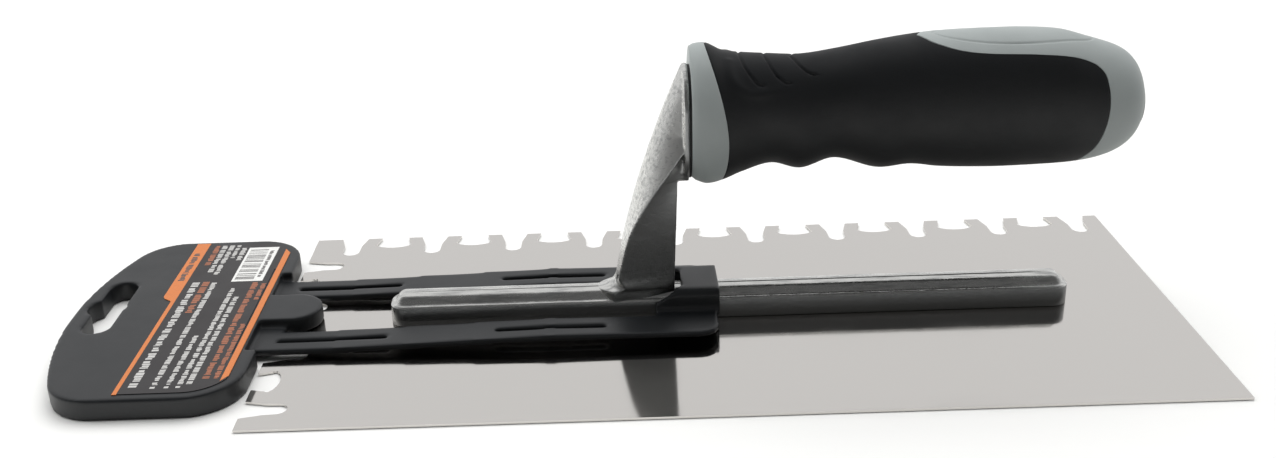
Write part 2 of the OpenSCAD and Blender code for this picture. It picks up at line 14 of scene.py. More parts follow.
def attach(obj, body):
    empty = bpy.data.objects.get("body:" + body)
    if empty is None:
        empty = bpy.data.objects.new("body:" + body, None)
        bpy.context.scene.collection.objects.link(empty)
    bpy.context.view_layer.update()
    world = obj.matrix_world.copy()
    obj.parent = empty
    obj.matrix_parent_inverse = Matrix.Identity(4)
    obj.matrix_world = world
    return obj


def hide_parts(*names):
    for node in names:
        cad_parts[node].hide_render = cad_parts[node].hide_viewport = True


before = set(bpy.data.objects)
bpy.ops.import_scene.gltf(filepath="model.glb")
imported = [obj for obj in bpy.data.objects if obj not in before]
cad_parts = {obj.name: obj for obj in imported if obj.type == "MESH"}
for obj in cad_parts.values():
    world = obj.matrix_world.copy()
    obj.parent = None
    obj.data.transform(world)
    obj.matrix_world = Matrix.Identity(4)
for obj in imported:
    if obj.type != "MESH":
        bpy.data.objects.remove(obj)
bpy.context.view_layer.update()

LOG = logging.getLogger("trowel")
MM = 0.001
TROWEL = "trowel"
CARD = "hanging_card"
SEED = 11


# ---- Colour and node helpers -----------------------------------------------------------------
def linear(hex_colour: str) -> tuple[float, float, float, float]:
    """Turns an sRGB hex colour into linear RGBA.

    Args:
        hex_colour: Colour as "#RRGGBB".

    Returns:
        Linear red, green, blue and an alpha of 1.
    """
    parts = [int(hex_colour[i : i + 2], 16) / 255 for i in (1, 3, 5)]
    flat = [p / 12.92 if p <= 0.04045 else ((p + 0.055) / 1.055) ** 2.4 for p in parts]
    return flat[0], flat[1], flat[2], 1.0


def add(
    tree: bpy.types.NodeTree,
    kind: str,
    settings: dict[Any, Any] | None = None,
    links: dict[Any, bpy.types.NodeSocket] | None = None,
) -> bpy.types.Node:
    """Adds one node, sets its values and links its inputs.

    Args:
        tree: Node tree to add to.
        kind: Node type, such as "ShaderNodeTexNoise".
        settings: Values by input name, input number or property name.
        links: Sockets by the name or number of the input that they feed.

    Returns:
        The new node.
    """
    node = tree.nodes.new(kind)
    for key, value in (settings or {}).items():
        if isinstance(key, str) and hasattr(node, key) and key not in node.inputs:
            setattr(node, key, value)
        else:
            node.inputs[key].default_value = value
    for key, socket in (links or {}).items():
        tree.links.new(socket, node.inputs[key])
    return node


# ---- Finishes --------------------------------------------------------------------------------
@dataclass(frozen=True)
class Finish:
    """A real material with a named surface, which one Principled shader stands for."""

    name: str
    slot: str
    colour: str
    roughness: float
    metallic: float = 0.0
    ior: float = 1.5

    def material(self) -> bpy.types.Material:
        """Makes the material once and gives the same one back after that.

        Returns:
            The material with its shader and pattern.
        """
        made = bpy.data.materials.get(self.name)
        if made:
            return made
        made = bpy.data.materials.new(self.name)
        made.use_nodes = True
        tree = made.node_tree
        shader = tree.nodes["Principled BSDF"]
        shader.inputs["Base Color"].default_value = linear(self.colour)
        shader.inputs["Roughness"].default_value = self.roughness
        shader.inputs["Metallic"].default_value = self.metallic
        if self.metallic == 0.0:
            shader.inputs["IOR"].default_value = self.ior
        place = add(tree, "ShaderNodeTexCoord").outputs["Object"]
        self.dress(tree, shader, place)
        return made

    def dress(self, tree: bpy.types.NodeTree, shader: bpy.types.Node, place: bpy.types.NodeSocket) -> None:
        """Adds the surface's own pattern; a plain finish has none.

        Args:
            tree: Node tree of the material.
            shader: Principled shader that the pattern feeds.
            place: Position in metres.
        """

    def noise(
        self,
        tree: bpy.types.NodeTree,
        place: bpy.types.NodeSocket,
        size_mm: float,
        detail: float = 3.0,
        stretch: tuple[float, float, float] = (1.0, 1.0, 1.0),
    ) -> bpy.types.NodeSocket:
        """Noise whose grains have a real size.

        Args:
            tree: Node tree to add to.
            place: Position in metres.
            size_mm: Size of one grain.
            detail: Octaves of finer noise.
            stretch: Multiplier of the pattern's frequency on each axis.

        Returns:
            The noise value, from 0 to 1.
        """
        mapping = add(tree, "ShaderNodeMapping", {"Scale": stretch}, {"Vector": place})
        grain = {"Scale": 1.0 / (size_mm * MM), "Detail": detail, "Roughness": 0.55}
        return add(tree, "ShaderNodeTexNoise", grain, {"Vector": mapping.outputs[0]}).outputs[0]

    def spread(
        self, tree: bpy.types.NodeTree, value: bpy.types.NodeSocket, low: float, high: float,
        start: float = 0.3, end: float = 0.7,
    ) -> bpy.types.NodeSocket:
        """Maps a value's middle range to a new range, and holds it there beyond both ends.

        Args:
            tree: Node tree to add to.
            value: Value to map.
            low: Result where the value is start or less.
            high: Result where the value is end or more.
            start: Lower end of the middle range.
            end: Upper end of the middle range.

        Returns:
            The mapped value.
        """
        ends = {"From Min": start, "From Max": end, "To Min": low, "To Max": high}
        return add(tree, "ShaderNodeMapRange", ends, {"Value": value}).outputs[0]

    def relief(
        self, tree: bpy.types.NodeTree, shader: bpy.types.Node, height: bpy.types.NodeSocket,
        depth_mm: float, before: bpy.types.NodeSocket | None = None,
    ) -> bpy.types.NodeSocket:
        """Raises the surface by a pattern and feeds the shader with it.

        Args:
            tree: Node tree to add to.
            shader: Principled shader that takes the relief.
            height: Pattern, from 0 to 1.
            depth_mm: Height of the pattern at 1.
            before: Earlier relief that this one lies on.

        Returns:
            The new relief, for another one to lie on.
        """
        links = {"Height": height}
        if before is not None:
            links["Normal"] = before
        bump = add(tree, "ShaderNodeBump", {"Strength": 1.0, "Distance": depth_mm * MM}, links)
        tree.links.new(bump.outputs[0], shader.inputs["Normal"])
        return bump.outputs[0]

    def tint(
        self, tree: bpy.types.NodeTree, shader: bpy.types.Node, value: bpy.types.NodeSocket,
        other: str,
    ) -> None:
        """Blends the base colour towards another one.

        Args:
            tree: Node tree to add to.
            shader: Principled shader that takes the colour.
            value: Share of the other colour, from 0 to 1.
            other: Other colour as "#RRGGBB".
        """
        blend = add(
            tree,
            "ShaderNodeMix",
            {"data_type": "RGBA", 6: linear(self.colour), 7: linear(other)},
            {0: value},
        )
        tree.links.new(blend.outputs[2], shader.inputs["Base Color"])


@dataclass(frozen=True)
class RolledStainless(Finish):
    """Cold-rolled stainless spring steel, bright finish: near-mirror, with faint rolling lines."""

    line_mm: float = 0.35
    line_stretch: float = 0.012
    line_depth_mm: float = 0.0016
    cloud_mm: float = 26.0
    direction: float = 0.35

    def dress(self, tree: bpy.types.NodeTree, shader: bpy.types.Node, place: bpy.types.NodeSocket) -> None:
        """Adds rolling lines and a slow change of haze; arguments as in Finish."""
        # The work rolls leave hairlines along the sheet, which haze reflections across them only
        lines = self.noise(tree, place, self.line_mm, 2.0, (self.line_stretch, 1.0, 1.0))
        cloud = self.noise(tree, place, self.cloud_mm, 3.0)
        both = add(tree, "ShaderNodeMath", {"operation": "MULTIPLY_ADD", 1: 0.35}, {0: lines, 2: cloud})
        rough = self.spread(tree, both.outputs[0], self.roughness * 0.75, self.roughness * 1.5, 0.5, 0.95)
        tree.links.new(rough, shader.inputs["Roughness"])
        shader.inputs["Anisotropic"].default_value = self.direction
        self.relief(tree, shader, lines, self.line_depth_mm)


@dataclass(frozen=True)
class CastAluminium(Finish):
    """Gravity-cast aluminium, buffed on top: bright and slightly dimpled, with painted shade darkening its
    sides.
    """

    dimple_mm: float = 2.2
    dimple_depth_mm: float = 0.09
    streak_mm: float = 1.1
    draw_mm: float = 0.9
    draw_depth_mm: float = 0.03
    grit_mm: float = 0.45
    grit_depth_mm: float = 0.035
    # Faces that look up or left count as lit; the others take painted shade towards the oxide colour, which
    # also tints the streaks
    lit_left_share: float = 0.85
    painted_shade_share: float = 0.75
    oxide_and_shade: str = "#737577"

    def dress(self, tree: bpy.types.NodeTree, shader: bpy.types.Node, place: bpy.types.NodeSocket) -> None:
        """Adds dimples, drawn streaks and grit, with painted shade in the sides; arguments as in Finish."""
        # Buffing reaches the faces that look up or to the left, which are the faces towards the lamps; the
        # sides keep the mould's grain, and painted shade darkens them towards the oxide colour. Streaks of
        # about 0.2 mm are drawn at 1 mm so that they show
        normal = add(tree, "ShaderNodeNewGeometry").outputs["Normal"]
        up = add(tree, "ShaderNodeSeparateXYZ", None, {0: normal})
        turned = {"operation": "MULTIPLY", 1: -self.lit_left_share}
        ahead = add(tree, "ShaderNodeMath", turned, {0: up.outputs["X"]})
        both = {0: up.outputs["Z"], 1: ahead.outputs[0]}
        facing = add(tree, "ShaderNodeMath", {"operation": "MAXIMUM"}, both)
        buffed_and_lit = self.spread(tree, facing.outputs[0], 0.0, 1.0, 0.2, 0.75)
        grit = self.noise(tree, place, self.grit_mm, 4.0)
        dimple = self.noise(tree, place, self.dimple_mm, 2.0)
        streak = self.noise(tree, place, self.streak_mm, 4.0, (0.12, 1.0, 1.0))
        stain = self.spread(tree, streak, 0.0, 0.55, 0.45, 0.68)
        # Painted shade: the share of oxide colour grows on faces turned away from the lamps, and is added to
        # the streak stains
        fade = {"operation": "MULTIPLY_ADD", 1: -self.painted_shade_share, 2: self.painted_shade_share}
        painted_shade = add(tree, "ShaderNodeMath", fade, {0: buffed_and_lit})
        stain_and_shade = add(tree, "ShaderNodeMath", {"operation": "MAXIMUM"}, {0: stain, 1: painted_shade.outputs[0]})
        self.tint(tree, shader, stain_and_shade.outputs[0], self.oxide_and_shade)
        side_rough = self.spread(tree, grit, self.roughness * 0.9, self.roughness * 1.35)
        top_rough = self.spread(tree, streak, self.roughness * 0.55, self.roughness * 0.95)
        mixed = add(tree, "ShaderNodeMix", {"data_type": "FLOAT"}, {0: buffed_and_lit, 2: side_rough, 3: top_rough})
        tree.links.new(mixed.outputs[0], shader.inputs["Roughness"])
        draw = self.noise(tree, place, self.draw_mm, 3.0, (0.05, 1.0, 0.35))
        first = self.relief(tree, shader, dimple, self.dimple_depth_mm)
        second = self.relief(tree, shader, draw, self.draw_depth_mm, first)
        self.relief(tree, shader, grit, self.grit_depth_mm, second)


@dataclass(frozen=True)
class MouldedPlastic(Finish):
    """Injection-moulded plastic from a spark-eroded mould: an even fine grain that softens its gloss."""

    grain_mm: float = 0.35
    grain_depth_mm: float = 0.02
    wear: str = "#000000"
    wear_share: float = 0.12
    haze_mm: float = 14.0

    def dress(self, tree: bpy.types.NodeTree, shader: bpy.types.Node, place: bpy.types.NodeSocket) -> None:
        """Adds the mould's grain and patches of wear; arguments as in Finish."""
        # A real grain is about 0.05 mm; it is drawn coarser so that it still breaks up the highlight
        grain = self.noise(tree, place, self.grain_mm, 2.0)
        haze = self.noise(tree, place, self.haze_mm, 4.0)
        rough = self.spread(tree, haze, self.roughness * 0.9, self.roughness * 1.12)
        tree.links.new(rough, shader.inputs["Roughness"])
        self.tint(tree, shader, self.spread(tree, haze, 0.0, self.wear_share), self.wear)
        self.relief(tree, shader, grain, self.grain_depth_mm)


@dataclass(frozen=True)
class PrintedInk(Finish):
    """Screen-printed ink on film: flat colour with a slightly broken cover."""

    speck_mm: float = 0.3
    thin_colour: str = "#4A4544"

    def dress(self, tree: bpy.types.NodeTree, shader: bpy.types.Node, place: bpy.types.NodeSocket) -> None:
        """Adds specks of thin ink; arguments as in Finish."""
        # Ink lies a little thinner in specks, where the dark film dulls it
        speck = self.noise(tree, place, self.speck_mm, 3.0)
        self.tint(tree, shader, self.spread(tree, speck, 0.0, 0.3, 0.5, 0.8), self.thin_colour)


@dataclass(frozen=True)
class GroundSteel(Finish):
    """Turned or ground steel with a thin zinc coat: satin, with fine tool lines."""

    def dress(self, tree: bpy.types.NodeTree, shader: bpy.types.Node, place: bpy.types.NodeSocket) -> None:
        """Adds tool lines; arguments as in Finish."""
        # Tool lines of about 0.1 mm, drawn at 0.3 mm
        lines = self.noise(tree, place, 0.3, 2.0, (1.0, 0.15, 1.0))
        tree.links.new(
            self.spread(tree, lines, self.roughness * 0.8, self.roughness * 1.3), shader.inputs["Roughness"]
        )
        self.relief(tree, shader, lines, 0.004)


@dataclass(frozen=True)
class PaperSweep(Finish):
    """Seamless paper under the object: matt and nearly even."""

    def dress(self, tree: bpy.types.NodeTree, shader: bpy.types.Node, place: bpy.types.NodeSocket) -> None:
        """Adds paper fibre; arguments as in Finish."""
        # Paper fibre of about 0.6 mm barely shows
        fibre = self.noise(tree, place, 0.6, 3.0)
        self.tint(tree, shader, self.spread(tree, fibre, 0.0, 0.06), "#D8D8D6")


BLADE_STEEL = RolledStainless("rolled_stainless", "blade_steel", "#D2CFCB", 0.085, 1.0)
CASTING = CastAluminium("buffed_gravity_cast_aluminium", "cast_aluminium", "#D6D6D3", 0.36, 1.0)
RIVET_STEEL = GroundSteel("ground_rivet_steel", "rivet_steel", "#BDBDBA", 0.3, 1.0)
BOLT_STEEL = GroundSteel("zinc_plated_steel", "bolt_steel", "#B4B4AE", 0.38, 1.0)
GRIP_RUBBER = MouldedPlastic(
    "overmoulded_soft_rubber", "grip_black", "#07090B", 0.6, ior=1.45, grain_mm=0.4, grain_depth_mm=0.03,
    wear="#0C0E11", wear_share=0.5,
)
GRIP_PLASTIC = MouldedPlastic(
    "moulded_grey_polypropylene", "grip_grey", "#979D9C", 0.46, ior=1.46, grain_depth_mm=0.012,
    wear="#8B9190", wear_share=0.35,
)
GASKET = MouldedPlastic("die_cut_nitrile_rubber", "gasket_rubber", "#141416", 0.6, ior=1.52)
PLUG = MouldedPlastic(
    "moulded_grey_polyethylene", "plug_grey", "#979D9C", 0.48, ior=1.46, wear="#8B9190", wear_share=0.35,
)
CARD_PLASTIC = MouldedPlastic(
    "moulded_black_polypropylene", "hanger_black", "#16181A", 0.42, ior=1.49, grain_mm=0.5,
    grain_depth_mm=0.02, wear="#202224", wear_share=0.6,
)
FILM = MouldedPlastic(
    "printed_film", "label_print", "#1E1B1C", 0.44, ior=1.5, grain_mm=0.7,
    grain_depth_mm=0.01, wear="#252122", wear_share=0.6,
)
WHITE_INK = PrintedInk("white_ink", "label_print", "#BDBCB9", 0.5)
PANEL_INK = PrintedInk("panel_white_ink", "label_print", "#DEDEDB", 0.45)
ORANGE_INK = PrintedInk("orange_ink", "label_print", "#C97438", 0.5)
DULL_ORANGE_INK = PrintedInk("thin_orange_ink", "label_print", "#9C6146", 0.55)
DARK_INK = PrintedInk("dark_ink", "label_print", "#4A4646", 0.5)
SWEEP = PaperSweep("paper_sweep", "", "#ECECEA", 0.8)


# ---- Mesh helpers ----------------------------------------------------------------------------
class Ends(Enum):
    """How a skin over a list of rings is closed."""

    CAPPED = "capped"
    LOOPED = "looped"


def piece(name: str, points: np.ndarray, faces: list[tuple[int, ...]], finish: Finish) -> bpy.types.Object:
    """Makes a smooth-shaded mesh object from points in millimetres.

    Args:
        name: Name of the piece.
        points: Array of positions, one row each.
        faces: Vertex numbers of each face.
        finish: Finish that the piece takes.

    Returns:
        The new object, linked to the scene.
    """
    mesh = bpy.data.meshes.new(name)
    mesh.from_pydata((points * MM).tolist(), [], faces)
    mesh.validate()
    mesh.polygons.foreach_set("use_smooth", [True] * len(mesh.polygons))
    mesh.materials.append(finish.material())
    made = bpy.data.objects.new(name, mesh)
    bpy.context.scene.collection.objects.link(made)
    return made


def ring_faces(rings: int, around: int, ends: Ends, start: int = 0) -> list[tuple[int, ...]]:
    """Faces of a skin over rings that each have the same number of points.

    Args:
        rings: Number of rings.
        around: Points in each ring.
        ends: Whether the two ends are capped or joined to each other.
        start: Number of the first vertex.

    Returns:
        Faces as tuples of vertex numbers.
    """
    found: list[tuple[int, ...]] = []
    last = rings if ends is Ends.LOOPED else rings - 1
    for i in range(last):
        a, b = start + i * around, start + ((i + 1) % rings) * around
        found += [(a + j, a + (j + 1) % around, b + (j + 1) % around, b + j) for j in range(around)]
    if ends is Ends.CAPPED:
        found.append(tuple(start + j for j in reversed(range(around))))
        found.append(tuple(start + (rings - 1) * around + j for j in range(around)))
    return found


def skin(name: str, rings: np.ndarray, ends: Ends, finish: Finish) -> bpy.types.Object:
    """Makes a piece from rings.

    Args:
        name: Name of the piece.
        rings: Positions in millimetres, with the shape (rings, points, 3).
        ends: How the first and last ring are closed.
        finish: Finish that the piece takes.

    Returns:
        The new object.
    """
    count, around, _ = rings.shape
    return piece(name, rings.reshape(-1, 3), ring_faces(count, around, ends), finish)


def bundle(name: str, shells: list[np.ndarray], finish: Finish) -> bpy.types.Object:
    """Makes one piece from several capped skins that overlap.

    Args:
        name: Name of the piece.
        shells: Rings of each skin, in millimetres.
        finish: Finish that the piece takes.

    Returns:
        The new object.
    """
    points, faces, start = [], [], 0
    for rings in shells:
        count, around, _ = rings.shape
        points.append(rings.reshape(-1, 3))
        faces += ring_faces(count, around, Ends.CAPPED, start)
        start += count * around
    return piece(name, np.concatenate(points), faces, finish)


def melt(target: bpy.types.Object, voxel_mm: float, rounds: int) -> None:
    """Fuses a piece's overlapping shells and softens its edges, as a mould does.

    Args:
        target: Object to change with modifiers.
        voxel_mm: Size of the remesh cells.
        rounds: Smoothing passes.
    """
    weld = target.modifiers.new("weld", "WELD")
    weld.merge_threshold = 1e-6
    remesh = target.modifiers.new("remesh", "REMESH")
    remesh.mode = "VOXEL"
    remesh.voxel_size = voxel_mm * MM
    remesh.use_smooth_shade = True
    soften = target.modifiers.new("soften", "SMOOTH")
    soften.factor = 0.5
    soften.iterations = rounds


def ease(stations: np.ndarray, column: int, at: np.ndarray) -> np.ndarray:
    """Smooth curve through stations, with each slope taken from its two neighbours.

    Args:
        stations: Rows of distance and values.
        column: Column that holds the value.
        at: Distances to read the curve at.

    Returns:
        The value at each distance.
    """
    x, y = stations[:, 0], stations[:, column]
    slope = np.empty_like(y)
    slope[1:-1] = (y[2:] - y[:-2]) / (x[2:] - x[:-2])
    slope[0], slope[-1] = (y[1] - y[0]) / (x[1] - x[0]), (y[-1] - y[-2]) / (x[-1] - x[-2])
    i = np.clip(np.searchsorted(x, at, side="right") - 1, 0, len(x) - 2)
    h = x[i + 1] - x[i]
    t = (at - x[i]) / h
    rise = y[i] * (2 * t**3 - 3 * t**2 + 1) + slope[i] * h * (t**3 - 2 * t**2 + t)
    return rise + y[i + 1] * (3 * t**2 - 2 * t**3) + slope[i + 1] * h * (t**3 - t**2)


def distance_to_path(points: np.ndarray, path: np.ndarray) -> np.ndarray:
    """Distance from each point to a polyline.

    Args:
        points: Positions in millimetres.
        path: Corners of the polyline in millimetres.

    Returns:
        The distance of each point in millimetres.
    """
    best = np.full(points.shape[:-1], 1e9)
    for a, b in zip(path[:-1], path[1:]):
        along = np.clip(((points - a) @ (b - a)) / ((b - a) @ (b - a)), 0, 1)
        best = np.minimum(best, np.linalg.norm(points - a - along[..., None] * (b - a), axis=-1))
    return best


def smooth_path(corners: tuple[tuple[float, float, float], ...], steps: int = 5) -> np.ndarray:
    """Rounds a polyline into a smooth path through its corners.

    Args:
        corners: Positions in millimetres.
        steps: Points between two corners.

    Returns:
        Positions along the path.
    """
    known = np.array(corners, float)
    table = np.column_stack([np.arange(len(known)), known])
    at = np.linspace(0, len(known) - 1, (len(known) - 1) * steps + 1)
    return np.column_stack([ease(table, column, at) for column in (1, 2, 3)])


# ---- Handle ----------------------------------------------------------------------------------
@dataclass
class Handle:
    """Grey core with a soft black sleeve moulded over it; sizes in millimetres."""

    start_x: float = -10.0
    axis_z: float = 67.0
    length: float = 133.4
    form_length: float = 134.2
    end_round: float = 13.0
    under_round: float = 24.5
    end_power: float = 3.0
    pole_z: float = -0.5
    sleeve_t: float = 2.4
    skin_gap: float = 0.012
    plug_r: float = 7.45
    tip_s: float = 133.6
    groove_depth: float = 0.5
    groove_half: float = 0.42
    rim_height: float = 0.4
    rim_half: float = 1.5
    rim_end_x: float = 17.0
    rim_fade: float = 6.0
    lip_round: float = 0.42
    lip_reach: float = 0.6
    rear_s: float = 123.0
    mouth_deep: float = 13.0
    emblem_x: float = 84.7
    emblem_half: tuple[float, float] = (23.3, 8.2)
    emblem_depth: float = 0.3
    emblem_line: float = 0.3
    emblem_above: float = 8.0
    stations: np.ndarray = field(default_factory=lambda: np.array([
        [0, 19.3, -20.1, 16.6], [1.5, 20, -21.3, 17.6], [5, 20.1, -22.4, 18], [10, 17.7, -21.2, 17.2],
        [15, 17, -19.1, 16.2], [24, 16.3, -16.5, 15.2], [33, 15.9, -18.5, 15], [43, 17.1, -15.5, 15.3],
        [56, 19.4, -19, 16.6], [66, 20.8, -18.2, 17.3], [75, 21.6, -19.3, 17.7], [90, 21.9, -19.9, 18],
        [100, 21.8, -19.8, 17.9], [110, 20.9, -19.5, 17.4], [118, 18.6, -19, 16.5], [126, 16.2, -18.4, 15.6],
        [134.5, 14.6, -17.8, 15]], float))
    window: np.ndarray = field(default_factory=lambda: np.array([
        [0, 67], [17, 70], [26, 73.5], [33.5, 79], [37.5, 87], [39.5, 100], [41.5, 113], [47, 118],
        [60, 120], [87, 120.6], [122, 119], [150, 116], [180, 115]], float))
    grooves: tuple[tuple[tuple[float, float, float], ...], ...] = (
        ((4.2, 0, 83.9), (4.8, -4.3, 83.3), (5.8, -7.9, 81.6), (7.4, -10.3, 79.6), (9, -11.6, 77.9),
         (10.6, -11.9, 77.5)),
        ((11.4, 0, 83), (12.4, -4.2, 82.7), (13.4, -7.5, 81.2), (15, -9.7, 79.4), (16.9, -10.8, 78),
         (18.3, -10.9, 77.7)),
        ((19.3, 0, 82.8), (20.2, -2.6, 82.6), (21.5, -5.6, 81.6), (23.2, -7.8, 80.4), (24.6, -8.8, 79.8),
         (25.7, -9.1, 79.7)))
    rim: tuple[tuple[float, float, float], ...] = (
        (1.3, -5.6, 83.3), (1.3, -9.3, 81.3), (2.1, -11.4, 79.3), (3.8, -12.7, 77.3), (5.9, -13.3, 76),
        (8.2, -13.4, 75.4), (11.7, -12.9, 75.7), (15.7, -12.2, 76.3))

    def angles(self) -> np.ndarray:
        """Directions round the handle in degrees from its top, closest where the sleeve's window turns."""
        half = np.concatenate([np.arange(0, 27, 1.2), np.arange(27, 50, 0.4), np.arange(50, 180, 1.3)])
        return np.concatenate([half, [180.0], 360 - half[:0:-1]])

    def sleeve_start(self, angle: np.ndarray) -> np.ndarray:
        """Distance along the handle where the sleeve starts."""
        turn = np.radians(angle)
        return 8.3 - 2.1 * np.cos(turn) - 1.8 * np.cos(2 * turn)

    def sleeve_end(self, angle: np.ndarray) -> np.ndarray:
        """Distance along the handle where the sleeve ends."""
        return ease(self.window, 1, np.minimum(angle, 360 - angle))

    def fall(self, s: np.ndarray, round_over: float) -> np.ndarray:
        """Share of the radius that is left where the free end rounds over.

        Args:
            s: Distance along the handle.
            round_over: Length of the rounded part.

        Returns:
            The share, from 1 down to 0 at the very end.
        """
        d = np.clip((s - self.form_length + round_over) / round_over, 0, 1)
        return (1 - d**self.end_power) ** (1 / self.end_power)

    def surface(self, s: np.ndarray, angle: np.ndarray, inset: np.ndarray | float) -> np.ndarray:
        """Points of the outer surface.

        Args:
            s: Distance along the handle.
            angle: Direction from the top, in degrees.
            inset: Depth below the surface.

        Returns:
            Array of positions in millimetres.
        """
        top = self.pole_z + (ease(self.stations, 1, s) - self.pole_z) * self.fall(s, self.end_round)
        under = self.pole_z + (ease(self.stations, 2, s) - self.pole_z) * self.fall(s, self.under_round)
        side = ease(self.stations, 3, s) * self.fall(s, self.end_round)
        turn = np.radians(angle)
        x = self.start_x + s * self.length / self.form_length
        inset = inset + self.skin_gap
        y = (side - inset) * np.sin(turn)
        z = self.axis_z + (top + under) / 2 + ((top - under) / 2 - inset) * np.cos(turn)
        return np.stack(np.broadcast_arrays(x, y, z), axis=-1)

    def carving(self, points: np.ndarray) -> np.ndarray:
        """Depth of the thumb grooves, less the height of the rim round them.

        Args:
            points: Positions on the sleeve in millimetres.

        Returns:
            The depth at each point.
        """
        cut = np.zeros(points.shape[:-1])
        near = points * np.array([1, -1, 1])
        both = np.where(points[..., 1:2] > 0, near, points)
        for groove in self.grooves:
            d = distance_to_path(both, smooth_path(groove))
            cut = np.maximum(cut, self.groove_depth * np.exp(-((d / self.groove_half) ** 2)))
        d = distance_to_path(both, smooth_path(self.rim))
        fade = np.clip((self.rim_end_x - points[..., 0]) / self.rim_fade, 0, 1)
        return cut - self.rim_height * fade * np.exp(-((d / self.rim_half) ** 2))

    def sleeve(self) -> bpy.types.Object:
        """Builds the soft sleeve, with a rounded lip at both of its edges.

        Returns:
            The new object.
        """
        angle = self.angles()[None, :]
        a, b = self.sleeve_start(angle), self.sleeve_end(angle)
        lip = np.array([0.0, 0.12, 0.25, 0.4, 0.6, 0.9])
        middle = np.linspace(0, 1, 240)[:, None]
        s = np.concatenate([a + lip[:, None], a + 0.9 + (b - a - 1.8) * middle[1:-1], b - lip[::-1, None]])
        edge = np.minimum(s - a, b - s)
        inset = self.lip_round * (1 - np.sqrt(1 - np.clip(1 - edge / self.lip_reach, 0, 1) ** 2))
        inset = inset + self.carving(self.surface(s, angle, 0.0))
        outer = self.surface(s, angle, inset)
        under = np.linspace(1, 0, 12)[:, None]
        inner = self.surface(a + 0.05 + (b - a - 0.1) * under, angle, self.sleeve_t - 0.05)
        return skin("soft_sleeve", np.concatenate([outer, inner]), Ends.LOOPED, GRIP_RUBBER)

    def emblem(self, points: np.ndarray) -> np.ndarray:
        """Depth of the blank oval's outline in the top of the core.

        Args:
            points: Positions on the core in millimetres.

        Returns:
            The depth at each point.
        """
        u = (points[..., 0] - self.emblem_x) / self.emblem_half[0]
        v = points[..., 1] / self.emblem_half[1]
        r = np.sqrt(u**2 + v**2) + 1e-9
        slope = np.sqrt((u / self.emblem_half[0]) ** 2 + (v / self.emblem_half[1]) ** 2) / r + 1e-9
        d = (r - 1) / slope
        line = self.emblem_depth * np.exp(-((d / self.emblem_line) ** 2))
        return np.where(points[..., 2] > self.axis_z + self.emblem_above, line, 0.0)

    def core(self) -> bpy.types.Object:
        """Builds the grey core: nose ring, seat of the sleeve, palm window and free end.

        Returns:
            The new object.
        """
        angle = self.angles()[None, :]
        a, b = self.sleeve_start(angle), self.sleeve_end(angle)
        rear = self.rear_s
        nose = self.surface(a * np.linspace(0, 1, 26)[:, None], angle, 0.0)
        seat = self.surface(a + (b - a) * np.linspace(0, 1, 30)[:, None], angle, self.sleeve_t)
        back_s = b + (rear - b) * np.linspace(0, 1, 170)[:, None]
        back = self.surface(back_s, angle, 0.0)
        back = self.surface(back_s, angle, self.emblem(back))
        tip_s = rear + (self.tip_s - rear) * np.sin(np.radians(np.linspace(3, 90, 34)))[:, None]
        tip = self.surface(tip_s, angle, 0.0)
        turn = np.radians(angle[0])
        mouth_x = tip[-1, :, 0].max()
        mouth = [
            np.stack([np.full_like(turn, x), r * np.sin(turn), self.axis_z - 1 + r * np.cos(turn)], -1)
            for x, r in ((mouth_x + 0.2, self.plug_r + 0.6), (mouth_x + 0.25, self.plug_r + 0.25),
                         (mouth_x, self.plug_r), (mouth_x - self.mouth_deep, self.plug_r))
        ]
        rings = np.concatenate([nose, seat, back, tip, np.array(mouth)])
        return skin("grip_core", rings, Ends.CAPPED, GRIP_PLASTIC)

    def build(self) -> None:
        """Builds both pieces and puts them on the trowel."""
        for made, node in ((self.core(), "handle_core"), (self.sleeve(), "grip_sleeve")):
            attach(made, TROWEL)
            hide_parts(node)
            LOG.info("%s: %d faces", made.name, len(made.data.polygons))


